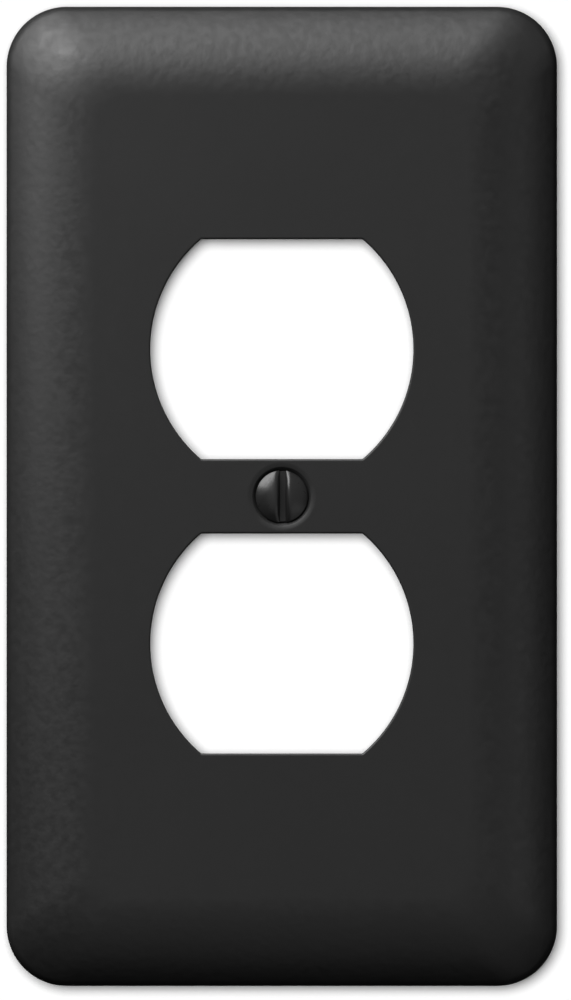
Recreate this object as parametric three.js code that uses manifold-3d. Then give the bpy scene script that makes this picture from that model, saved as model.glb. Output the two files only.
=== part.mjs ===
// Duplex receptacle wall plate: a pressed steel plate with two openings, and the slotted
// oval-head screw that holds it to the receptacle.
//
// Millimetres, +Z up and +X right. The face looks towards -Y. The wall is the plane y = 0,
// and the origin is on the screw's axis. A height is a distance in front of the wall, so it
// lies at y = -height. Every lathe and extrusion below is drawn with its height going up,
// and turned into this frame at the end.

import * as THREE from 'three';
import { ParametricGeometry } from 'three/addons/geometries/ParametricGeometry.js';
import { mergeVertices } from 'three/addons/utils/BufferGeometryUtils.js';
import Module from 'manifold-3d';

const wasm = await Module();
wasm.setup();

const INCH = 25.4;

// Plate
const PLATE_WIDTH = 72.8;
const PLATE_HEIGHT = 129.5;
const PLATE_DEPTH = 6.4;
const SHEET = 0.8;
const OUTLINE_RADIUS = 7.94; // corners of the rim
const FIELD_RADIUS = 4; // corners of the flat field
const ROLL_WIDTH = 11.9; // from the rim to where the flat field begins
const RIM_RADIUS = 2.5; // the tight turn that ends in the rim
const CORNER_STEPS = 6;
const ROLL_STEPS = 8;
const RIM_STEPS = 4;

// Receptacle openings: two side arcs, cut off level at the top and the bottom
const OPENING_SPACING = 1.53 * INCH;
const OPENING_HEIGHT = 29.1;
const OPENING_RADIUS = 0.75 * INCH;
const OPENING_ARC_OFFSET = 1.65; // each side's arc is centred this far across the middle
const OPENING_STEPS = 18; // for each side arc

// Countersunk dimple
const COUNTERSINK_ANGLE = THREE.MathUtils.degToRad(82);
const CONE_MOUTH = 3.94; // the cone's radius where it would reach the flat field
const DIMPLE_RADIUS = 4.58; // where the flat field starts to draw down towards the cone
const DRAW_TILT = THREE.MathUtils.degToRad(18); // slope of the drawn lip where it meets the cone
const LIP_STEPS = 4;
const HOLE_RADIUS = 2.1;
const DIMPLE_SIDES = 32;

// Screw: 6-32 by half an inch, oval head
const HEAD_RADIUS = 3.45;
const HEAD_SINK = 0.2; // the head's edge lies this far below the flat field
const CROWN_HEIGHT = 1.1;
const CROWN_STEPS = 6;
const SLOT_WIDTH = 1.0;
const SLOT_DEPTH = 1.3;
const SCREW_LENGTH = 0.5 * INCH; // from the head's edge to the tip
const THREAD_RADIUS = 1.74;
const ROOT_RADIUS = 1.29;
const PITCH = INCH / 32;
const CREST_WIDTH = PITCH / 8;
const FLANK_ANGLE = THREE.MathUtils.degToRad(30);
const NECK_LENGTH = 0.8; // plain shank between the head's cone and the thread
const TIP_CHAMFER = 0.6;
const SCREW_SIDES = 14;

const HALF_CONE = COUNTERSINK_ANGLE / 2;
const CONE_SLOPE = Math.tan(HALF_CONE); // the cone's change of radius for each unit of height
const OVERRUN = 1; // how far a cutter runs past what it cuts
const BURY = 0.3; // how far the thread's ridge runs into the core

const coat = { color: 0x2f2f2f, roughness: 0.55, metalness: 0 };
const screwPaint = { color: 0x2b2b2b, roughness: 0.35, metalness: 0 };

// ---- solids ----

// Merges shared corners, drops triangles that have shrunk to a line, and makes a solid.
function toSolid(geometry) {
  const merged = geometry.clone();
  merged.deleteAttribute('normal');
  merged.deleteAttribute('uv');
  const welded = mergeVertices(merged, 1e-5);
  const corners = welded.index.array;
  const kept = [];
  for (let i = 0; i < corners.length; i += 3) {
    const [a, b, c] = corners.slice(i, i + 3);
    if (a !== b && b !== c && c !== a) {
      kept.push(a, b, c);
    }
  }
  const mesh = new wasm.Mesh({
    numProp: 3,
    vertProperties: new Float32Array(welded.attributes.position.array),
    triVerts: new Uint32Array(kept),
  });
  return new wasm.Manifold(mesh);
}

function toMesh(name, solid, finish) {
  const { numProp, vertProperties, triVerts } = solid.getMesh();
  const geometry = new THREE.BufferGeometry();
  geometry.setAttribute('position', new THREE.BufferAttribute(vertProperties, numProp));
  geometry.setIndex(new THREE.BufferAttribute(triVerts, 1));
  geometry.computeVertexNormals();
  const mesh = new THREE.Mesh(geometry, new THREE.MeshStandardMaterial(finish));
  mesh.name = name;
  return mesh;
}

// getPoints(n) gives an arc 2n steps.
function arcPoints(path, steps) {
  return path.getPoints(steps / 2);
}

// A solid of revolution about the screw's axis, from an outline of (radius, height).
function turned(outline, sides) {
  const geometry = new THREE.LatheGeometry(outline.getPoints(), sides);
  return toSolid(geometry.rotateX(Math.PI));
}

// ---- plate ----

// The roll in section, as (distance in from the rim, height): a wide arc that leaves the flat
// field level, then the tight one that meets the wall square. The inner skin keeps the arcs'
// centres and is one sheet's thickness smaller.
function rollSection(inner) {
  const across = ROLL_WIDTH - RIM_RADIUS;
  const up = PLATE_DEPTH - RIM_RADIUS;
  const turn = 2 * Math.atan(up / across);
  const wide = RIM_RADIUS + across / Math.sin(turn);
  const joint = Math.PI / 2 + turn;
  const roll = new THREE.Path();
  roll.absarc(ROLL_WIDTH, PLATE_DEPTH - wide, wide - inner, Math.PI / 2, joint, false);
  const points = arcPoints(roll, ROLL_STEPS);
  const rim = new THREE.Path();
  rim.absarc(RIM_RADIUS, 0, RIM_RADIUS - inner, joint, Math.PI, false);
  return points.concat(arcPoints(rim, RIM_STEPS).slice(1));
}

// A point of the rounded rectangle that lies `inset` in from the plate's outline. Its corners
// tighten from the outline's radius to the field's.
function outlinePoint(step, inset, target) {
  const radius = THREE.MathUtils.lerp(OUTLINE_RADIUS, FIELD_RADIUS, inset / ROLL_WIDTH);
  const corner = Math.floor(step / (CORNER_STEPS + 1)) % 4;
  const along = (step % (CORNER_STEPS + 1)) / CORNER_STEPS;
  const angle = (corner + along) * (Math.PI / 2);
  const right = corner === 0 || corner === 3 ? 1 : -1;
  const top = corner < 2 ? 1 : -1;
  target.x = right * (PLATE_WIDTH / 2 - inset - radius) + radius * Math.cos(angle);
  target.z = top * (PLATE_HEIGHT / 2 - inset - radius) + radius * Math.sin(angle);
}

// The pressed plate before piercing: its skin runs from the middle of the back, along the
// inside of the roll to the rim, and over the outside to the middle of the face.
function pressing() {
  const inside = rollSection(SHEET);
  const outside = rollSection(0).reverse();
  const skin = [null, ...inside, ...outside, null];
  const around = 4 * (CORNER_STEPS + 1);
  const surface = (u, v, target) => {
    const row = Math.round(v * (skin.length - 1));
    const point = skin[row];
    if (point) {
      outlinePoint(Math.round(u * around), point.x, target);
      target.y = -point.y;
    } else {
      target.set(0, row === 0 ? SHEET - PLATE_DEPTH : -PLATE_DEPTH, 0);
    }
  };
  return toSolid(new ParametricGeometry(surface, around, skin.length - 1));
}

function receptacleOpening(level) {
  const reach = Math.asin(OPENING_HEIGHT / 2 / OPENING_RADIUS);
  const outline = new THREE.Shape();
  outline.absarc(-OPENING_ARC_OFFSET, level, OPENING_RADIUS, -reach, reach, false);
  outline.absarc(OPENING_ARC_OFFSET, level, OPENING_RADIUS, Math.PI - reach, Math.PI + reach, false);
  const cutter = new THREE.ExtrudeGeometry(outline, {
    depth: PLATE_DEPTH + OVERRUN,
    bevelEnabled: false,
    curveSegments: OPENING_STEPS / 2,
  });
  return toSolid(cutter.rotateX(Math.PI / 2));
}

const DIMPLE_END = PLATE_DEPTH - (CONE_MOUTH - HOLE_RADIUS) / CONE_SLOPE;

function coneRadius(height) {
  return CONE_MOUTH - (PLATE_DEPTH - height) * CONE_SLOPE;
}

// Sheet pushed back around the screw hole, before the countersink is opened in it.
function dimpleWall() {
  const wall = SHEET / Math.cos(HALF_CONE);
  const start = PLATE_DEPTH - SHEET / 2;
  const outline = new THREE.Path();
  outline.moveTo(0, DIMPLE_END);
  outline.lineTo(coneRadius(DIMPLE_END) + wall, DIMPLE_END);
  outline.lineTo(coneRadius(start) + wall, start);
  outline.lineTo(0, start);
  return turned(outline, DIMPLE_SIDES);
}

// Everything in front of the dimple: the hole, the cone and the lip that is drawn down with it.
function countersink() {
  const sag = CONE_SLOPE * Math.tan(DRAW_TILT / 2);
  const edge = (CONE_MOUTH - sag * DIMPLE_RADIUS) / (1 - sag);
  const draw = (DIMPLE_RADIUS - edge) / Math.sin(DRAW_TILT);
  const lip = new THREE.Path();
  const lipEnd = Math.PI / 2 + DRAW_TILT;
  lip.absarc(DIMPLE_RADIUS, PLATE_DEPTH - draw, draw, lipEnd, Math.PI / 2, true);
  const outline = new THREE.Path();
  outline.moveTo(0, DIMPLE_END - OVERRUN);
  outline.lineTo(HOLE_RADIUS, DIMPLE_END - OVERRUN);
  outline.lineTo(HOLE_RADIUS, DIMPLE_END);
  for (const point of arcPoints(lip, LIP_STEPS)) {
    outline.lineTo(point.x, point.y);
  }
  outline.lineTo(DIMPLE_RADIUS, PLATE_DEPTH + OVERRUN);
  outline.lineTo(0, PLATE_DEPTH + OVERRUN);
  return turned(outline, DIMPLE_SIDES);
}

function wallPlate() {
  const solid = pressing()
    .add(dimpleWall())
    .subtract(countersink())
    .subtract(receptacleOpening(OPENING_SPACING / 2))
    .subtract(receptacleOpening(-OPENING_SPACING / 2));
  return toMesh('wall_plate', solid, coat);
}

// ---- screw ----

const HEAD_EDGE = PLATE_DEPTH - HEAD_SINK;
const CROWN_TOP = HEAD_EDGE + CROWN_HEIGHT;
const NECK_TOP = HEAD_EDGE - (HEAD_RADIUS - ROOT_RADIUS) / CONE_SLOPE;
const THREAD_TOP = NECK_TOP - NECK_LENGTH;
const TIP = HEAD_EDGE - SCREW_LENGTH;

// Tip, core, cone and domed crown.
function headAndCore() {
  const dome = (HEAD_RADIUS ** 2 + CROWN_HEIGHT ** 2) / (2 * CROWN_HEIGHT);
  const domeHalf = Math.asin(HEAD_RADIUS / dome);
  const crown = new THREE.Path();
  crown.absarc(0, CROWN_TOP - dome, dome, Math.PI / 2 - domeHalf, Math.PI / 2, false);
  const outline = new THREE.Path();
  outline.moveTo(0, TIP);
  outline.lineTo(THREAD_RADIUS - TIP_CHAMFER, TIP);
  outline.lineTo(ROOT_RADIUS, TIP + TIP_CHAMFER - (THREAD_RADIUS - ROOT_RADIUS));
  outline.lineTo(ROOT_RADIUS, NECK_TOP);
  for (const point of arcPoints(crown, CROWN_STEPS)) {
    outline.lineTo(point.x, point.y);
  }
  return turned(outline, 2 * SCREW_SIDES);
}

// A right-hand helix at the thread's root. Its frames keep the section in a plane through
// the axis, with the section's x outwards and its y towards the tip.
class ThreadHelix extends THREE.Curve {
  constructor(start, turns) {
    super();
    this.start = start;
    this.turns = turns;
  }

  radial(t) {
    const angle = 2 * Math.PI * this.turns * t;
    return new THREE.Vector3(Math.sin(angle), 0, Math.cos(angle));
  }

  getPoint(t) {
    const point = this.radial(t).multiplyScalar(ROOT_RADIUS);
    point.y = this.start + PITCH * this.turns * t;
    return point;
  }

  computeFrenetFrames(segments) {
    const steps = Array.from({ length: segments + 1 }, (_, i) => i / segments);
    return {
      tangents: steps.map((t) => this.getTangent(t)),
      normals: steps.map((t) => this.radial(t)),
      binormals: steps.map(() => new THREE.Vector3(0, -1, 0)),
    };
  }
}

function threadRidge() {
  const turns = Math.ceil((THREAD_TOP - TIP) / PITCH) + 1;
  const depth = THREAD_RADIUS - ROOT_RADIUS;
  const crest = CREST_WIDTH / 2;
  const foot = crest + depth * Math.tan(FLANK_ANGLE);
  const section = new THREE.Shape();
  section.moveTo(-BURY, -foot);
  section.lineTo(0, -foot);
  section.lineTo(depth, -crest);
  section.lineTo(depth, crest);
  section.lineTo(0, foot);
  section.lineTo(-BURY, foot);
  const ridge = new THREE.ExtrudeGeometry(section, {
    steps: turns * SCREW_SIDES,
    extrudePath: new ThreadHelix(TIP - PITCH, turns),
  });
  return toSolid(ridge.rotateX(Math.PI));
}

// The space that the finished thread fills, chamfered at the tip and run out under the neck.
function threadEnvelope() {
  const runOut = THREAD_RADIUS - ROOT_RADIUS;
  const outline = new THREE.Path();
  outline.moveTo(0, TIP);
  outline.lineTo(THREAD_RADIUS - TIP_CHAMFER, TIP);
  outline.lineTo(THREAD_RADIUS, TIP + TIP_CHAMFER);
  outline.lineTo(THREAD_RADIUS, THREAD_TOP - runOut);
  outline.lineTo(ROOT_RADIUS, THREAD_TOP);
  outline.lineTo(0, THREAD_TOP);
  return turned(outline, SCREW_SIDES);
}

function driverSlot() {
  const slot = new THREE.BoxGeometry(SLOT_WIDTH, 2 * SLOT_DEPTH, 2 * HEAD_RADIUS + OVERRUN);
  return toSolid(slot.translate(0, -CROWN_TOP, 0));
}

function plateScrew() {
  const solid = headAndCore()
    .add(threadRidge().intersect(threadEnvelope()))
    .subtract(driverSlot());
  return toMesh('plate_screw', solid, screwPaint);
}

const duplexPlate = new THREE.Group();
duplexPlate.add(wallPlate(), plateScrew());

export default duplexPlate;
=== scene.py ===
import math

import bmesh
import bpy
import numpy as np
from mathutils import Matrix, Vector
from mathutils.geometry import delaunay_2d_cdt


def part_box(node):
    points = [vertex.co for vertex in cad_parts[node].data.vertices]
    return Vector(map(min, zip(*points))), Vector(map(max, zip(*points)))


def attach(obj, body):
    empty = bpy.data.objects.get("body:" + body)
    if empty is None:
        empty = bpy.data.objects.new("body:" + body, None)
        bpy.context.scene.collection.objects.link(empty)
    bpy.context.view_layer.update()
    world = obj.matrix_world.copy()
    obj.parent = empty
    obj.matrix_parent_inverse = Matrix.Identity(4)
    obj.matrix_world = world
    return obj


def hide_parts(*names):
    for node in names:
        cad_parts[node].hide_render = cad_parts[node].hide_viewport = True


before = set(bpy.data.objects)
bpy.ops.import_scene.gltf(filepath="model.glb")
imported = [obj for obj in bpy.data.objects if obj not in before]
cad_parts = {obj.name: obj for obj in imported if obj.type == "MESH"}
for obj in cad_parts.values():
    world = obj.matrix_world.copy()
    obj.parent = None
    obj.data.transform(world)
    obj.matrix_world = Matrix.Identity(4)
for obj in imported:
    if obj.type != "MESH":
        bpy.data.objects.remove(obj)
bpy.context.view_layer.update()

# A duplex receptacle wall plate in black powder-coated steel, and its slotted screw. Shapes are
# worked out in millimetres, as points (x, height in front of the wall, z), and turned into the
# row frame, where a height is -y, when a mesh is made. Angles of a section are in radians.

MM = 0.001
PLATE_LOW, PLATE_HIGH = (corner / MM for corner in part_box("wall_plate"))
SCREW_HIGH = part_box("plate_screw")[1] / MM

# Plate, as the CAD has it
HALF_WIDTH = PLATE_HIGH.x
HALF_HEIGHT = PLATE_HIGH.z
DEPTH = -PLATE_LOW.y
SHEET = 0.8
OUTLINE_RADIUS = 7.94
FIELD_RADIUS = 4.0
ROLL_WIDTH = 11.9
RIM_RADIUS = 2.5
OPENING_LEVEL = 19.431
OPENING_ARC_OFFSET = 1.65
HALF_CONE = math.radians(41)
CONE_SLOPE = math.tan(HALF_CONE)
HOLE_RADIUS = 2.1

# Openings, narrowed from the CAD's by the coat on their walls
FILM = 0.03
OPENING_HALF_HEIGHT = 14.55 - FILM
OPENING_RADIUS = 19.05 - FILM

# Dimple, which bends in more tightly at its mouth than the CAD's and is rounded where it meets the cone
DIMPLE_RADIUS = 4.59
BEND_WIDTH = 0.25
BEND_TILT = math.radians(9)
DRAW_TILT = math.radians(17)
LIP_RADIUS = 0.06
CONE_MOUTH = 4.0  # the cone's radius where it would reach the flat field
BACK_ROOT = 0.5

# Rounding that the punch and the coat leave on edges
CUT_ROUND = 0.28
BACK_ROUND = 0.06
PUNCH_CORNER = 0.3

# The hole's edges in the sheet, as (out from the hole, towards the front)
HOLE_FRONT_EDGE = ((0.05, 0.06), (0.01, 0.03), (0, 0))
HOLE_BACK_EDGE = (0.04, -0.04)
CONE_BACK_CHAMFER = 0.1

# Screw, as the CAD has it
TIP = -SCREW_HIGH.y
HEAD_RADIUS = SCREW_HIGH.x
HEAD_SINK = 0.2
HEAD_EDGE = DEPTH - HEAD_SINK
CROWN_HEIGHT = 1.1
CROWN_TOP = HEAD_EDGE + CROWN_HEIGHT
SLOT_DEPTH = 1.3
SLOT_FLOOR = CROWN_TOP - SLOT_DEPTH
PITCH = 25.4 / 32
THREAD_RADIUS = 1.74
ROOT_RADIUS = 1.29
TIP_CHAMFER = 0.6
NECK_LENGTH = 0.8
NECK_TOP = HEAD_EDGE - (HEAD_RADIUS - ROOT_RADIUS) / CONE_SLOPE
THREAD_TOP = NECK_TOP - NECK_LENGTH

# Finer shape of the screw: rounded edges, and a thread that rises smoothly from root to crest
HEAD_ROUND = 0.12
NECK_ROUND = 0.25
CREST_END = 1 / 8  # in pitches from the crest's middle
ROOT_START = 3 / 8
ROWS_PER_PITCH = 16

# The coat fills the slot's edges and corners, and the slot isn't quite in the middle
SLOT_HALF = 0.42
SLOT_SHIFT = 0.14
SLOT_ROUND = 0.75
ROUNDED_SHARE = 0.8  # the most of the slot's wall that the rounding takes away

# Distances under which points are one point and edges close up
SAME_POINT = 1e-6
FILL_EPSILON = 1e-7
WELD_GAP = 0.002
CLOSED_EDGE = 0.0005

# Powder coat. A size is that of a noise's lumps and a depth that of its relief
COAT_GREY = 0.02
COAT_DRIFT = 0.07  # how far the grey drifts, as a share of it
COAT_ROUGHNESS = 0.46
COAT_IOR = 1.5
DRIFT_SIZE = 14.0
PEEL_SIZE = 1.1
PEEL_DEPTH = 0.037
PEEL_SHEEN = 0.05  # how far the peel moves the roughness
PEEL_FULL = 0.75  # of the roll's width in from the outline, where the peel is at its full
FIELD_PEEL = 0.2  # the share of the peel that the flat field has
GRAIN_SIZE = 0.16
GRAIN_DEPTH = 0.0012

# Back of the plate: zinc and the mist of coat over it. Where the mist is thinnest, its specks let
# through from ZINC_LEAST to ZINC_MOST of the zinc
ZINC_DARK = (0.30, 0.305, 0.31, 1)
ZINC_PALE = (0.47, 0.475, 0.48, 1)
ZINC_ROUGHNESS = 0.4
ZINC_LEAST = 0.1
ZINC_MOST = 0.6
SPANGLE_SIZE = 5.0
MIST_GREY = 0.022
MIST_ROUGHNESS = 0.6
MIST_SIZE = 0.35
MIST_DEPTH = 0.004
THIN_FROM_SIDE = 22  # distances in from the plate's sides and ends where the mist is thinnest
THIN_FROM_END = 26
MISTED_AROUND = 16  # distances from an opening's middle where the mist starts to thin, and is thinnest
THIN_AROUND = 30
CLOUD_SIZE = 12.0
CLOUD_LEAST = 0.7  # what a cloud of coat leaves of the zinc that shows

# Screw's paint and zinc
PAINT_GREY = 0.016
PAINT_ROUGHNESS = 0.3
PAINT_PEEL_SIZE = 0.8
PAINT_PEEL_DEPTH = 0.006
PAINT_PEEL_SHEEN = 0.03
PAINT_THINS = 0.8  # depths below the head's edge
PAINT_ENDS = 1.6
FLECK_SIZE = 0.25
FLECK_REACH = 0.5  # how far flecks of paint and of zinc stray up and down
SHANK_DARK = (0.52, 0.53, 0.55, 1)
SHANK_PALE = (0.72, 0.73, 0.75, 1)
SHANK_ROUGHNESS = 0.28
DRAWN_SIZE = 0.5
DRAWN_STRETCH = 12
DRAWN_DEPTH = 0.001

# Floor, wall and backdrop, in metres
PALE = 0.9
AMBIENT = 0.003
WALL_HALF = 0.3
WALL_GAP = 0.05 * MM
WALL_CLEAR = 0.35  # a camera whose view is more aslant to the wall than this cosine sees through it
FLOOR_HALF = 8
FLOOR_LEVEL = -(HALF_HEIGHT + 2.2) * MM
FLAG_GAP = 3  # millimetres in front of the wall

# Camera, in metres, apart from its lens in millimetres
FRAME_HEIGHT = 132.27 * MM  # what the picture takes in, at the wall
CAMERA_X = 0.49 * MM
CAMERA_Z = -0.48 * MM
LENS = 850
CLIP_END = 20

# Distances of the lights from the plate's middle, in metres
FAR = 1.2
CLOSE = 0.25
CLOSEST = 0.16


# ---- meshes ----

def in_frame(points):
    """Points (x, height, z) in millimetres, as the row frame's in metres."""
    return [(x * MM, -height * MM, z * MM) for x, height, z in points]


class Skin:
    """The points and faces of one mesh. Faces keep the order that makes their normals point out."""

    def __init__(self):
        self.points = []
        self.faces = []
        self.finishes = []
        self.level = {}

    def add(self, points):
        start = len(self.points)
        self.points.extend(points)
        return list(range(start, len(self.points)))

    def face(self, corners, finish):
        self.faces.append(corners)
        self.finishes.append(finish)

    def strip(self, a, b, finish=0):
        for i in range(len(a) - 1):
            self.face((a[i], a[i + 1], b[i + 1], b[i]), finish)

    def bridge(self, a, b, finish=0):
        self.strip(a + a[:1], b + b[:1], finish)

    def fill(self, outer, holes, facing, finish=0):
        """Fills the flat region between an outer loop and its holes, which all are convex."""
        loops = [outer] + holes
        corners = [i for loop in loops for i in loop]
        flat = [Vector((self.points[i][0], self.points[i][2])) for i in corners]
        owner = [k for k, loop in enumerate(loops) for _ in loop]
        edges = []
        for loop in loops:
            start = corners.index(loop[0])
            edges += [(start + k, start + (k + 1) % len(loop)) for k in range(len(loop))]
        _, _, triangles, origin, _, _ = delaunay_2d_cdt(flat, edges, [], 0, FILL_EPSILON)
        for triangle in triangles:
            ends = [origin[k][0] for k in triangle]
            if owner[ends[0]] == owner[ends[1]] == owner[ends[2]] != 0:
                continue
            a, b, c = (flat[k] for k in ends)
            if (b - a).cross(c - a) * facing < 0:
                ends.reverse()
            self.face(tuple(corners[k] for k in ends), finish)
        for i in corners:
            self.level[i] = (0, -facing, 0)


def arc(centre, radius, start, end, steps):
    angles = np.linspace(start, end, steps + 1)
    return [(centre[0] + radius * math.cos(a), centre[1] + radius * math.sin(a)) for a in angles]


def make_piece(name, skin, materials):
    mesh = bpy.data.meshes.new(name)
    mesh.from_pydata(in_frame(skin.points), [], skin.faces)
    for material in materials:
        mesh.materials.append(material)
    mesh.polygons.foreach_set("material_index", skin.finishes)
    mesh.polygons.foreach_set("use_smooth", [True] * len(skin.faces))
    normals = [skin.level.get(i, (0, 0, 0)) for i in range(len(skin.points))]
    mesh.normals_split_custom_set_from_vertices(normals)
    mesh.update()
    piece = bpy.data.objects.new(name, mesh)
    bpy.context.scene.collection.objects.link(piece)
    return piece


# ---- plate ----

def roll_section():
    """The roll as (inset from the outline, height): its inside out to the rim, and its front back in."""
    across = ROLL_WIDTH - RIM_RADIUS
    turn = 2 * math.atan((DEPTH - RIM_RADIUS) / across)
    wide = RIM_RADIUS + across / math.sin(turn)
    joint = math.pi / 2 + turn
    centre = (ROLL_WIDTH, DEPTH - wide)
    rim_centre = (RIM_RADIUS, 0)
    thin = RIM_RADIUS - SHEET
    inside = arc(centre, wide - SHEET, math.pi / 2, joint, 28)
    inside += arc(rim_centre, thin, joint, math.pi - math.asin(BACK_ROUND / thin), 12)[1:]
    inside += arc((SHEET - BACK_ROUND, BACK_ROUND), BACK_ROUND, 0, -math.pi / 2, 3)[1:]
    outside = arc((CUT_ROUND, CUT_ROUND), CUT_ROUND, -math.pi / 2, -math.pi, 5)
    last = math.pi - math.asin(CUT_ROUND / RIM_RADIUS)
    outside += arc(rim_centre, RIM_RADIUS, last, joint, 14)
    outside += arc(centre, wide, joint, math.pi / 2, 34)[1:]
    return inside, outside


def outline_ring(inset, height):
    """One ring of the plate: a rounded rectangle whose corners tighten towards the flat field."""
    share = min(inset / ROLL_WIDTH, 1)
    radius = OUTLINE_RADIUS + share * (FIELD_RADIUS - OUTLINE_RADIUS)
    right = HALF_WIDTH - inset - radius
    top = HALF_HEIGHT - inset - radius
    corners = [(right, top), (-right, top), (-right, -top), (right, -top)]
    side_steps = [10, 20, 10, 20]
    points = []
    for quarter, centre in enumerate(corners):
        turn = arc(centre, radius, quarter * math.pi / 2, (quarter + 1) * math.pi / 2, 24)
        following = corners[(quarter + 1) % 4]
        start = np.array(turn[-1])
        side = np.array(following) - np.array(centre)
        steps = side_steps[quarter]
        points += turn
        points += [tuple(start + side * k / steps) for k in range(1, steps)]
    return [(x, height, z) for x, z in points]


def opening_outline(level):
    """An opening, anticlockwise, as (x, z, normal x, normal z) with the normals into the steel."""
    reach = OPENING_RADIUS - PUNCH_CORNER
    rise = OPENING_HALF_HEIGHT - PUNCH_CORNER
    corner_x = math.sqrt(reach**2 - rise**2) - OPENING_ARC_OFFSET
    half = math.atan2(rise, corner_x + OPENING_ARC_OFFSET)
    edge_steps = 16
    outline = []

    def sweep(x, z, radius, start, end, steps):
        for a in np.linspace(start, end, steps + 1):
            c, s = math.cos(a), math.sin(a)
            outline.append((x + radius * c, z + radius * s, c, s))

    for side, base in ((1, 0), (-1, math.pi)):
        edge = base + math.pi / 2
        corner = side * corner_x
        corner_z = level + side * rise
        edge_z = level + side * OPENING_HALF_HEIGHT
        sweep(-side * OPENING_ARC_OFFSET, level, OPENING_RADIUS, base - half, base + half, 56)
        sweep(corner, corner_z, PUNCH_CORNER, base + half, edge, 6)
        outline += [(corner * (1 - 2 * k / edge_steps), edge_z, 0, side) for k in range(1, edge_steps)]
        sweep(-corner, corner_z, PUNCH_CORNER, edge, base + math.pi - half, 6)
    return [p for i, p in enumerate(outline) if math.dist(p[:2], outline[i - 1][:2]) > SAME_POINT]


def pierce(skin, level):
    """The punched wall of one opening. Returns its front and back loops, for the flat fields."""
    front = arc((CUT_ROUND, DEPTH - CUT_ROUND), CUT_ROUND, math.pi / 2, math.pi, 5)
    back = arc((BACK_ROUND, DEPTH - SHEET + BACK_ROUND), BACK_ROUND, math.pi, 3 * math.pi / 2, 3)
    outline = opening_outline(level)
    loops = []
    for out, height in front + back:
        loops.append(skin.add([(x + nx * out, height, z + nz * out) for x, z, nx, nz in outline]))
    for a, b in zip(loops, loops[1:]):
        skin.bridge(a, b)
    return loops[0], loops[-1]


def arc_from(start, radius, tilt, end_tilt, steps):
    """An arc on from a point, where the surface leans by `tilt`, to where it leans by `end_tilt`."""
    centre = (start[0] + radius * math.sin(tilt), start[1] - radius * math.cos(tilt))
    return arc(centre, radius, math.pi / 2 + tilt, math.pi / 2 + end_tilt, steps)[1:]


def circle(radius, height, sides=112):
    angles = np.arange(sides) * 2 * math.pi / sides
    return [(radius * math.cos(a), height, radius * math.sin(a)) for a in angles]


def lip_edge(slope):
    """The radius where the drawn dimple ends, so that the lip's rounding meets the cone."""
    turn = math.sin(slope) - math.sin(DRAW_TILT)
    drop = math.cos(DRAW_TILT) - math.cos(slope)
    bend_sag = BEND_WIDTH * math.tan(BEND_TILT / 2)
    draw_sag = math.tan((BEND_TILT + DRAW_TILT) / 2)
    bend_end = DIMPLE_RADIUS - BEND_WIDTH
    unrounded = CONE_MOUTH - CONE_SLOPE * (bend_sag + bend_end * draw_sag)
    return (unrounded + LIP_RADIUS * (turn - CONE_SLOPE * drop)) / (1 - CONE_SLOPE * draw_sag)


def dimple_section():
    """The dimple as (radius, height), in two runs: the front, down to the hole's edge, and the back."""
    slope = math.pi / 2 - HALF_CONE
    bend = BEND_WIDTH / math.sin(BEND_TILT)
    front = arc((DIMPLE_RADIUS, DEPTH - bend), bend, math.pi / 2, math.pi / 2 + BEND_TILT, 4)
    draw_width = DIMPLE_RADIUS - BEND_WIDTH - lip_edge(slope)
    draw = draw_width / (math.sin(DRAW_TILT) - math.sin(BEND_TILT))
    front += arc_from(front[-1], draw, BEND_TILT, DRAW_TILT, 4)
    front += arc_from(front[-1], LIP_RADIUS, DRAW_TILT, slope, 8)
    end = DEPTH - (CONE_MOUTH - HOLE_RADIUS) / CONE_SLOPE
    front += [(HOLE_RADIUS + out, end + up) for out, up in HOLE_FRONT_EDGE]
    wall = SHEET / math.cos(HALF_CONE)
    out, up = HOLE_BACK_EDGE
    back = [(HOLE_RADIUS + out, end + up)]
    back += [(HOLE_RADIUS + wall - CONE_BACK_CHAMFER, end)]
    back += [(HOLE_RADIUS + wall, end + CONE_BACK_CHAMFER / 2)]
    behind = CONE_MOUTH + wall - SHEET * CONE_SLOPE
    root_centre = (behind + BACK_ROOT * math.tan(slope / 2), DEPTH - SHEET - BACK_ROOT)
    back += arc(root_centre, BACK_ROOT, math.pi / 2 + slope, math.pi / 2, 8)
    return front, back


def wall_plate(front, behind):
    skin = Skin()
    inside, outside = roll_section()
    back_rings = [skin.add(outline_ring(*p)) for p in inside]
    front_rings = [skin.add(outline_ring(*p)) for p in outside]
    for a, b in zip(back_rings, back_rings[1:]):
        skin.bridge(a, b, 1)
    skin.bridge(back_rings[-1], front_rings[0])
    for a, b in zip(front_rings, front_rings[1:]):
        skin.bridge(a, b)
    countersink, behind_it = dimple_section()
    dimple = [skin.add(circle(*p)) for p in countersink + behind_it]
    for k, (a, b) in enumerate(zip(dimple, dimple[1:])):
        skin.bridge(a, b, 0 if k < len(countersink) else 1)
    upper = pierce(skin, OPENING_LEVEL)
    lower = pierce(skin, -OPENING_LEVEL)
    skin.fill(front_rings[-1], [upper[0], lower[0], dimple[0]], 1, 0)
    skin.fill(back_rings[0], [upper[1], lower[1], dimple[-1]], -1, 1)
    return make_piece("plate_body", skin, [front, behind])


# ---- screw ----

def dome():
    """The crown's sphere: (height of its centre, radius)."""
    radius = (HEAD_RADIUS**2 + CROWN_HEIGHT**2) / (2 * CROWN_HEIGHT)
    return CROWN_TOP - radius, radius


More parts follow.
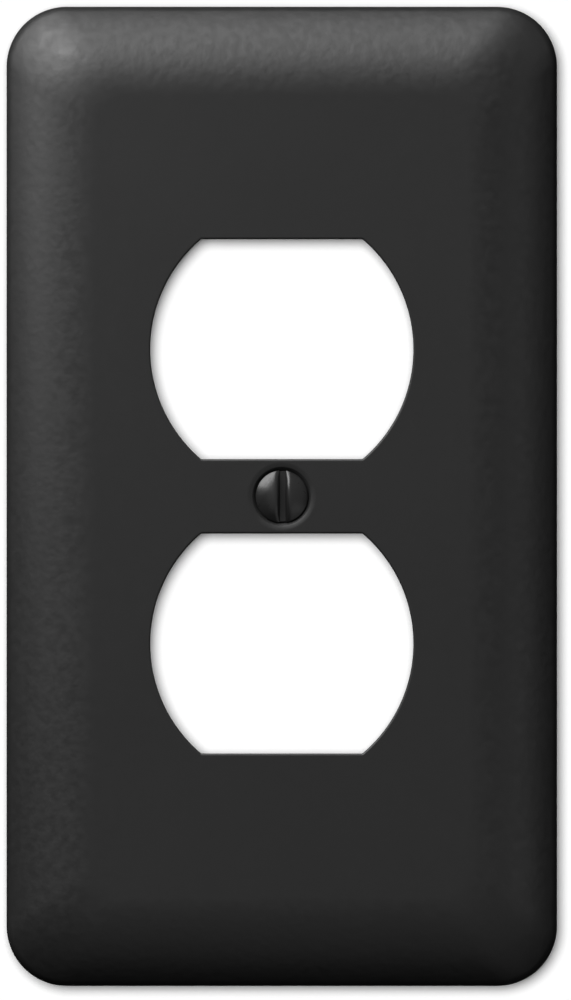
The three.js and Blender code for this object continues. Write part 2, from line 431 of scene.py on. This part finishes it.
def head_profile():
    """The head's outside from the crown's rim over its rounded edge and down to the slot's floor."""
    centre, radius = dome()
    tilt = math.asin((HEAD_RADIUS - HEAD_ROUND) / (radius - HEAD_ROUND))
    edge_centre = (HEAD_RADIUS - HEAD_ROUND, centre + (radius - HEAD_ROUND) * math.cos(tilt))
    edge = arc(edge_centre, HEAD_ROUND, math.pi / 2 - tilt, -HALF_CONE, 8)
    start = edge[-1]
    cone = []
    for share in (1 / 3, 2 / 3, 1):
        height = start[1] + (SLOT_FLOOR - start[1]) * share
        cone.append((start[0] - (start[1] - height) * CONE_SLOPE, height))
    return edge + cone


def lobe_shares():
    """Places across half of the head, from the slot's wall at 0 to the widest point at 1."""
    spread = HEAD_RADIUS * math.pi / 2
    rounded = [SLOT_ROUND * (1 - math.cos(a)) / spread for a in np.linspace(0, math.pi / 2, 13)]
    return rounded[:-1] + list(np.linspace(rounded[-1], 1, 20))


def slot_wall(side):
    """How far the slot's wall on the -X or the +X side is from the axis."""
    return SLOT_HALF + side * SLOT_SHIFT


def lobe_angle(share, radius, side):
    """Angle from the Z axis towards a lobe's place on a circle of that radius."""
    start = math.asin(slot_wall(side) / radius)
    return start + share * (math.pi / 2 - start)


def head_skin(skin):
    """The crown with its slot, and the head's edge and cone down to the slot's floor. The crown is
    columns of points along Z, side by side across X. Returns the ring of points at the floor."""
    profile = head_profile()
    rim, rim_height = profile[0]
    fade = [(height - SLOT_FLOOR) / (rim_height - SLOT_FLOOR) for _, height in profile]
    centre, radius = dome()
    shares = lobe_shares()
    rows = np.linspace(-1, 1, 61)
    floor_places = np.linspace(-1, 1, 7)[1:-1]

    def crown(x, z):
        return centre + math.sqrt(radius**2 - x * x - z * z)

    def wall_fall(side, z):
        """How far the coat's rounding has brought the crown down at the slot's wall."""
        return min(SLOT_ROUND, ROUNDED_SHARE * (crown(slot_wall(side), z) - SLOT_FLOOR))

    def edge_fall(side, x, z):
        """The same at x on a lobe: nothing from a rounding's width away."""
        reach = math.sqrt(rim * rim - slot_wall(side)**2)
        inward = min(max(1 - (x - slot_wall(side)) / SLOT_ROUND, 0), 1)
        return wall_fall(side, min(abs(z), reach)) * (1 - math.sqrt(1 - inward**2))

    def lobe_column(share, side):
        x = rim * math.sin(lobe_angle(share, rim, side))
        reach = math.sqrt(max(rim * rim - x * x, 0))
        return [(side * x, crown(x, v * reach) - edge_fall(side, x, v * reach), v * reach) for v in rows]

    def wall_column(k, side):
        x = slot_wall(side)
        reach = math.sqrt(profile[k][0]**2 - x * x)
        top_reach = math.sqrt(rim * rim - x * x)
        column = []
        for v in rows:
            top = crown(x, v * top_reach) - wall_fall(side, v * top_reach)
            column.append((side * x, SLOT_FLOOR + (top - SLOT_FLOOR) * fade[k], v * reach))
        return column

    def floor_column(place):
        x = SLOT_SHIFT + place * SLOT_HALF
        reach = math.sqrt(profile[-1][0]**2 - x * x)
        return [(x, SLOT_FLOOR, v * reach) for v in rows]

    def ring_point(k, share, side, top):
        r, height = profile[k]
        at_rim = lobe_angle(share, rim, side)
        fall = edge_fall(side, rim * math.sin(at_rim), rim * math.cos(at_rim))
        angle = lobe_angle(share, r, side)
        return (side * r * math.sin(angle), height - fall * fade[k], top * r * math.cos(angle))

    def lobe_ring(k, side, top):
        around = [(s, -top) for s in shares] + [(s, top) for s in reversed(shares[:-1])]
        return [ring_point(k, s, side, end) for s, end in around]

    deep = range(1, len(profile))
    columns = [lobe_column(s, -1) for s in reversed(shares)]
    columns += [wall_column(k, -1) for k in deep]
    columns += [floor_column(f) for f in floor_places]
    columns += [wall_column(k, 1) for k in reversed(deep)]
    columns += [lobe_column(s, 1) for s in shares]
    grid = [skin.add(column) for column in columns]
    for a, b in zip(grid, grid[1:]):
        skin.strip(b, a)
    for side in (1, -1):
        rings = [skin.add(lobe_ring(k, side, side)) for k in range(len(profile))]
        for a, b in zip(rings, rings[1:]):
            skin.strip(b, a)
    last = len(profile) - 1
    far = [floor_column(f)[-1] for f in reversed(floor_places)]
    near = [floor_column(f)[0] for f in floor_places]
    return lobe_ring(last, 1, 1) + far + lobe_ring(last, -1, -1) + near


def thread_radius(angle, height):
    """The rolled thread's surface: a helix, run out under the neck and chamfered at the tip."""
    turn = (height / PITCH - angle / (2 * math.pi)) % 1
    ridge = min(max((ROOT_START - abs(turn - 0.5)) / (ROOT_START - CREST_END), 0), 1)
    ridge = ridge * ridge * (3 - 2 * ridge)
    radius = ROOT_RADIUS + (THREAD_RADIUS - ROOT_RADIUS) * ridge
    tip = THREAD_RADIUS - TIP_CHAMFER + (height - TIP)
    run_out = ROOT_RADIUS + max(THREAD_TOP - height, 0)
    return min(radius, tip, run_out)


def plate_screw(finish):
    skin = Skin()
    floor_ring = head_skin(skin)
    angles = [math.atan2(z, x) for x, _, z in floor_ring]

    def ring(radius_at, height):
        return skin.add([(radius_at(a) * math.cos(a), height, radius_at(a) * math.sin(a)) for a in angles])

    rings = [skin.add(floor_ring)]
    start = math.hypot(floor_ring[0][0], floor_ring[0][2])
    for share in np.linspace(0.1, 1, 10):
        radius = start + (ROOT_RADIUS + NECK_ROUND / 2 - start) * share
        height = SLOT_FLOOR - (start - radius) / CONE_SLOPE
        rings.append(ring(lambda a, r=radius: r, height))
    for share in (0.3, 0.6, 1):
        radius = ROOT_RADIUS + NECK_ROUND / 2 * (1 - share) ** 2
        rings.append(ring(lambda a, r=radius: r, NECK_TOP - NECK_ROUND * share))
    rows = int((THREAD_TOP - TIP) / PITCH * ROWS_PER_PITCH)
    for height in np.linspace(THREAD_TOP, TIP, rows):
        rings.append(ring(lambda a, h=height: thread_radius(-a, h), height))
    for a, b in zip(rings, rings[1:]):
        skin.bridge(b, a)
    skin.fill(rings[-1], [], -1)
    screw = make_piece("screw_body", skin, [finish])
    weld(screw)
    return screw


def weld(piece):
    """Joins the points that the head's parts share, and drops the faces that closed up."""
    work = bmesh.new()
    work.from_mesh(piece.data)
    bmesh.ops.remove_doubles(work, verts=work.verts, dist=WELD_GAP * MM)
    bmesh.ops.dissolve_degenerate(work, edges=work.edges, dist=CLOSED_EDGE * MM)
    work.to_mesh(piece.data)
    work.free()


# ---- materials ----

class Nodes:
    """A material's node tree, with the few calls that the materials below need."""

    def __init__(self, name):
        self.material = bpy.data.materials.new(name)
        self.material.use_nodes = True
        self.tree = self.material.node_tree
        self.tree.nodes.clear()

    def node(self, kind, inputs=None, **settings):
        node = self.tree.nodes.new(kind)
        for key, value in settings.items():
            setattr(node, key, value)
        for key, value in (inputs or {}).items():
            if isinstance(value, bpy.types.NodeSocket):
                self.tree.links.new(value, node.inputs[key])
            else:
                node.inputs[key].default_value = value
        return node

    def place(self):
        """The point on the piece, in its own frame, and its X, Y and Z."""
        point = self.node("ShaderNodeTexCoord").outputs["Object"]
        axes = self.node("ShaderNodeSeparateXYZ", {"Vector": point}).outputs
        return point, axes["X"], axes["Y"], axes["Z"]

    def noise(self, vector, size, detail=2.0, roughness=0.5):
        """Noise whose lumps are about `size` millimetres across."""
        inputs = {"Vector": vector, "Scale": 1 / (size * MM), "Detail": detail, "Roughness": roughness}
        return self.node("ShaderNodeTexNoise", inputs).outputs["Fac"]

    def math(self, operation, a, b=0.0):
        return self.node("ShaderNodeMath", {0: a, 1: b}, operation=operation).outputs[0]

    def span(self, value, low, high, to_low=0.0, to_high=1.0):
        inputs = {"Value": value, "From Min": low, "From Max": high, "To Min": to_low, "To Max": to_high}
        return self.node("ShaderNodeMapRange", inputs).outputs["Result"]

    def swing(self, noise, low, high):
        """A noise whose usual values, from 0.3 to 0.7, are spread over `low` to `high`."""
        return self.span(noise, 0.3, 0.7, low, high)

    def ease(self, value, low, high):
        """A smooth step from 0 at `low` to 1 at `high`."""
        inputs = {"Value": value, "From Min": low, "From Max": high}
        return self.node("ShaderNodeMapRange", inputs, interpolation_type="SMOOTHSTEP").outputs["Result"]

    def mix_colour(self, share, a, b):
        inputs = {0: share, 6: a, 7: b}
        return self.node("ShaderNodeMix", inputs, data_type="RGBA").outputs[2]

    def bump(self, height, depth, normal=None):
        """Bump from a 0 to 1 height that stands for `depth` millimetres."""
        inputs = {"Height": height, "Distance": depth * MM, "Strength": 1.0}
        if normal is not None:
            inputs["Normal"] = normal
        return self.node("ShaderNodeBump", inputs).outputs["Normal"]

    def to_camera(self, kind, vector):
        """A world point or direction, as the camera sees it."""
        settings = {"vector_type": kind, "convert_from": "WORLD", "convert_to": "CAMERA"}
        return self.node("ShaderNodeVectorTransform", {"Vector": vector}, **settings).outputs[0]

    def finish(self, surface):
        output = self.node("ShaderNodeOutputMaterial")
        self.tree.links.new(surface, output.inputs["Surface"])
        return self.material


def grey(value):
    return (value, value, value, 1.0)


def powder_coat(name):
    """Semi-matt powder coat, with orange peel that is faint on the flat field and full on the roll."""
    nodes = Nodes(name)
    place, x, _, z = nodes.place()
    across = nodes.math("ABSOLUTE", x)
    up = nodes.math("ABSOLUTE", z)
    full = PEEL_FULL * ROLL_WIDTH
    roll_x = nodes.span(across, (HALF_WIDTH - ROLL_WIDTH) * MM, (HALF_WIDTH - full) * MM)
    roll_z = nodes.span(up, (HALF_HEIGHT - ROLL_WIDTH) * MM, (HALF_HEIGHT - full) * MM)
    peeled = nodes.span(nodes.math("MAXIMUM", roll_x, roll_z), 0, 1, FIELD_PEEL, 1)
    peel = nodes.noise(place, PEEL_SIZE, 1.0, 0.4)
    grain = nodes.noise(place, GRAIN_SIZE)
    drift = nodes.noise(place, DRIFT_SIZE)
    dark = grey(COAT_GREY * (1 - COAT_DRIFT))
    pale = grey(COAT_GREY * (1 + COAT_DRIFT))
    uneven = nodes.swing(peel, -PEEL_SHEEN, PEEL_SHEEN)
    relief = nodes.bump(nodes.math("MULTIPLY", peel, peeled), PEEL_DEPTH)
    inputs = {
        "Base Color": nodes.mix_colour(drift, dark, pale),
        "Roughness": nodes.math("ADD", nodes.math("MULTIPLY", uneven, peeled), COAT_ROUGHNESS),
        "Normal": nodes.bump(grain, GRAIN_DEPTH, relief),
        "IOR": COAT_IOR,
    }
    return nodes.finish(nodes.node("ShaderNodeBsdfPrincipled", inputs).outputs[0])


def overspray(name):
    """The plate's back: zinc-coated steel under a black mist that closes up towards the edges."""
    nodes = Nodes(name)
    place, x, _, z = nodes.place()
    spangle = nodes.noise(place, SPANGLE_SIZE, 4.0, 0.6)
    mist = nodes.noise(place, MIST_SIZE, 3.0, 0.7)
    cloud = nodes.noise(place, CLOUD_SIZE, 3.0)
    across = nodes.math("ABSOLUTE", x)
    up = nodes.math("ABSOLUTE", z)
    level = nodes.math("SUBTRACT", up, OPENING_LEVEL * MM)
    squares = nodes.math("ADD", nodes.math("POWER", across, 2.0), nodes.math("MULTIPLY", level, level))
    around = nodes.math("POWER", squares, 0.5)
    off_side = nodes.ease(across, HALF_WIDTH * MM, (HALF_WIDTH - THIN_FROM_SIDE) * MM)
    off_end = nodes.ease(up, HALF_HEIGHT * MM, (HALF_HEIGHT - THIN_FROM_END) * MM)
    off_opening = nodes.ease(around, MISTED_AROUND * MM, THIN_AROUND * MM)
    inner = nodes.math("MULTIPLY", nodes.math("MULTIPLY", off_side, off_end), off_opening)
    thin = nodes.math("MULTIPLY", inner, nodes.swing(cloud, CLOUD_LEAST, 1.0))
    showing = nodes.math("MULTIPLY", thin, nodes.span(mist, 0.35, 0.65, ZINC_LEAST, ZINC_MOST))
    coated = nodes.math("SUBTRACT", 1.0, showing)
    zinc = nodes.mix_colour(spangle, ZINC_DARK, ZINC_PALE)
    inputs = {
        "Base Color": nodes.mix_colour(coated, zinc, grey(MIST_GREY)),
        "Metallic": nodes.math("SUBTRACT", 1.0, coated),
        "Roughness": nodes.span(coated, 0, 1, ZINC_ROUGHNESS, MIST_ROUGHNESS),
        "Normal": nodes.bump(mist, MIST_DEPTH),
    }
    return nodes.finish(nodes.node("ShaderNodeBsdfPrincipled", inputs).outputs[0])


def screw_finish(name):
    """Satin black paint on the head, thinning over its cone to a bright zinc-plated shank."""
    nodes = Nodes(name)
    place, _, y, _ = nodes.place()
    fleck = nodes.noise(place, FLECK_SIZE, 3.0, 0.6)
    peel = nodes.noise(place, PAINT_PEEL_SIZE)
    reach = FLECK_REACH * MM
    depth = nodes.math("ADD", y, nodes.span(fleck, 0, 1, -reach, reach))
    bare = nodes.span(depth, -(HEAD_EDGE - PAINT_THINS) * MM, -(HEAD_EDGE - PAINT_ENDS) * MM)
    scaling = {"Vector": place, "Scale": (1, DRAWN_STRETCH, 1)}
    drawn = nodes.noise(nodes.node("ShaderNodeMapping", scaling).outputs[0], DRAWN_SIZE, 3.0)
    zinc = nodes.mix_colour(drawn, SHANK_DARK, SHANK_PALE)
    rough = nodes.mix_colour(bare, grey(PAINT_ROUGHNESS), grey(SHANK_ROUGHNESS))
    uneven = nodes.swing(peel, -PAINT_PEEL_SHEEN, PAINT_PEEL_SHEEN)
    inputs = {
        "Base Color": nodes.mix_colour(bare, grey(PAINT_GREY), zinc),
        "Metallic": bare,
        "Roughness": nodes.math("ADD", rough, uneven),
        "Normal": nodes.bump(peel, PAINT_PEEL_DEPTH, nodes.bump(drawn, DRAWN_DEPTH)),
    }
    return nodes.finish(nodes.node("ShaderNodeBsdfPrincipled", inputs).outputs[0])


# ---- floor, wall and backdrop ----

def plain_paint(name, value):
    nodes = Nodes(name)
    return nodes.finish(nodes.node("ShaderNodeBsdfDiffuse", {"Color": grey(value)}).outputs[0])


def wall_paint():
    """White paint that is clear for a camera behind the wall, or one that looks along it."""
    nodes = Nodes("wall_paint")
    middle = nodes.to_camera("POINT", (0, 0, 0))
    inward = nodes.to_camera("VECTOR", (0, 1, 0))
    look = nodes.node("ShaderNodeVectorMath", {0: middle}, operation="NORMALIZE").outputs[0]
    facing = nodes.node("ShaderNodeVectorMath", {0: look, 1: inward}, operation="DOT_PRODUCT")
    in_front = nodes.math("GREATER_THAN", facing.outputs["Value"], WALL_CLEAR)
    white = nodes.node("ShaderNodeBsdfDiffuse", {"Color": grey(PALE)}).outputs[0]
    clear = nodes.node("ShaderNodeBsdfTransparent").outputs[0]
    return nodes.finish(nodes.node("ShaderNodeMixShader", {0: in_front, 1: clear, 2: white}).outputs[0])


def stage_mesh(name, points, faces, material):
    """Part of the stage. It throws no light onto the object."""
    mesh = bpy.data.meshes.new(name)
    mesh.from_pydata(points, [], faces)
    mesh.materials.append(material)
    piece = bpy.data.objects.new(name, mesh)
    bpy.context.scene.collection.objects.link(piece)
    piece.visible_diffuse = False
    piece.visible_glossy = False
    return piece


def pale_wall():
    low = (WALL_GAP, FLOOR_LEVEL)
    high = (WALL_GAP, WALL_HALF)
    corners = [(-WALL_HALF, *low), (WALL_HALF, *low), (WALL_HALF, *high), (-WALL_HALF, *high)]
    return stage_mesh("wall", corners, [(0, 1, 2, 3)], wall_paint())


def pale_floor():
    around = [(-1, -1), (1, -1), (1, 1), (-1, 1)]
    corners = [(x * FLOOR_HALF, y * FLOOR_HALF, FLOOR_LEVEL) for x, y in around]
    return stage_mesh("floor", corners, [(0, 1, 2, 3)], plain_paint("floor_paint", PALE))


def shadow_flag():
    """A card in the plate's outline that shades the wall, for a soft close shadow. No camera sees it."""
    skin = Skin()
    outline = skin.add(outline_ring(0, FLAG_GAP))
    openings = []
    for level in (OPENING_LEVEL, -OPENING_LEVEL):
        openings.append(skin.add([(x, FLAG_GAP, z) for x, z, _, _ in opening_outline(level)]))
    skin.fill(outline, openings, 1)
    flag = stage_mesh("shadow_flag", in_frame(skin.points), skin.faces, plain_paint("flag_black", 0))
    flag.visible_camera = False
    flag.visible_transmission = False
    return flag


def pale_world():
    """Pale for the camera, dim for what it lights."""
    world = bpy.data.worlds.new("pale_world")
    bpy.context.scene.world = world
    world.use_nodes = True
    tree = world.node_tree
    tree.nodes.clear()
    glow = tree.nodes.new("ShaderNodeBackground")
    glow.inputs["Color"].default_value = grey(AMBIENT)
    backdrop = tree.nodes.new("ShaderNodeBackground")
    backdrop.inputs["Color"].default_value = grey(PALE)
    path = tree.nodes.new("ShaderNodeLightPath")
    mix = tree.nodes.new("ShaderNodeMixShader")
    output = tree.nodes.new("ShaderNodeOutputWorld")
    tree.links.new(path.outputs["Is Camera Ray"], mix.inputs[0])
    tree.links.new(glow.outputs[0], mix.inputs[1])
    tree.links.new(backdrop.outputs[0], mix.inputs[2])
    tree.links.new(mix.outputs[0], output.inputs[0])


# ---- light and camera ----

def group_of(name, *objects):
    group = bpy.data.collections.new(name)
    for o in objects:
        group.objects.link(o)
    return group


def direction(tilt, azimuth):
    """Unit vector `tilt` degrees off the plate's face normal, towards `azimuth` degrees from +X to +Z."""
    t, a = math.radians(tilt), math.radians(azimuth)
    return Vector((math.sin(t) * math.cos(a), -math.cos(t), math.sin(t) * math.sin(a)))


def shine(name, data, towards, distance, receivers, blockers):
    """Places a light that aims at the plate's middle. It lights only its receivers, and only its
    blockers throw shadows in it."""
    lamp = bpy.data.objects.new(name, data)
    lamp.location = towards * distance
    lamp.rotation_mode = "QUATERNION"
    lamp.rotation_quaternion = (-towards).to_track_quat("-Z", "Y")
    lamp.visible_camera = False
    bpy.context.scene.collection.objects.link(lamp)
    lamp.light_linking.receiver_collection = receivers
    lamp.light_linking.blocker_collection = blockers


def soft_box(name, towards, distance, size, power, receivers, blockers):
    """A square light, `size` metres across, of so many watts."""
    data = bpy.data.lights.new(name, "AREA")
    data.shape = "SQUARE"
    data.size = size
    data.energy = power
    shine(name, data, towards, distance, receivers, blockers)


def soft_sun(name, towards, spread, strength, receivers, blockers):
    """A sun that is `spread` degrees across."""
    data = bpy.data.lights.new(name, "SUN")
    data.angle = math.radians(spread)
    data.energy = strength
    shine(name, data, towards, 0, receivers, blockers)


def light_plate(lit, solid):
    """Two keys from above, close lamps for the bright left side, and fills for the other edges."""
    soft_box("key", direction(66, 105), FAR, 1.1, 13.6, lit, solid)
    soft_box("high_key", direction(50, 125), FAR, 0.5, 7.15, lit, solid)
    soft_box("near_corner", direction(62, 135), CLOSEST, 0.08, 0.024, lit, solid)
    soft_box("low_corner", direction(74, 135), CLOSEST, 0.08, 0.03, lit, solid)
    soft_box("near_left", direction(74, 150), CLOSEST, 0.08, 0.02, lit, solid)
    soft_box("left_fill", direction(62, 165), CLOSE, 0.08, 0.052, lit, solid)
    soft_box("low_fill", direction(45, 300), FAR, 1.5, 1.52, lit, solid)
    soft_box("right_fill", direction(55, 0), FAR, 0.5, 0.63, lit, solid)
    soft_box("right_rim", direction(70, 30), FAR, 0.5, 0.485, lit, solid)


def light_screw(lit, solid):
    soft_box("screw_key", direction(75, 129), FAR, 1.2, 34, lit, solid)
    soft_box("screw_fill", direction(15, 30), FAR, 3.0, 10, lit, solid)
    soft_box("screw_rim", direction(62, 310), FAR, 1.0, 1.0, lit, solid)


def light_back(lit, solid):
    soft_box("back_key", direction(130, 60), FAR, 0.6, 20, lit, solid)
    soft_box("back_fill", direction(150, 190), FAR, 0.6, 8, lit, solid)


def light_wall(lit, shading):
    """A broad sun from the upper left, for a soft shadow close to the plate."""
    soft_sun("wall_sun", direction(11, 135), 42, 3.63, lit, shading)


def light_floor(lit, shading):
    """A sun just strong enough to make the floor as pale as the backdrop."""
    from_above = direction(65, 100)
    strength = math.pi * (1 - AMBIENT) / from_above.z
    soft_sun("floor_sun", from_above, 60, strength, lit, shading)


def front_camera():
    data = bpy.data.cameras.new("front_camera")
    data.lens = LENS
    data.clip_end = CLIP_END
    camera = bpy.data.objects.new("front_camera", data)
    distance = FRAME_HEIGHT * data.lens / data.sensor_width
    camera.location = (CAMERA_X, -distance, CAMERA_Z)
    camera.rotation_euler = (math.pi / 2, 0, 0)
    bpy.context.scene.collection.objects.link(camera)
    bpy.context.scene.camera = camera


# ---- the object ----

plate = wall_plate(powder_coat("black_powder_coat"), overspray("overspray_on_zinc"))
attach(plate, "plate")
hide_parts("wall_plate")

screw = plate_screw(screw_finish("satin_black_and_zinc"))
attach(screw, "screw")
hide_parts("plate_screw")

# ---- the studio ----

wall = pale_wall()
floor = pale_floor()
flag = shadow_flag()
subject = group_of("subject", plate, screw)
solid = group_of("solid", plate, screw, wall)
light_plate(group_of("only_plate", plate), solid)
light_screw(group_of("only_screw", screw), solid)
light_back(subject, solid)
light_wall(group_of("only_wall", wall), group_of("only_flag", flag))
light_floor(group_of("only_floor", floor), subject)
pale_world()
front_camera()
bpy.context.scene.view_settings.view_transform = "Standard"
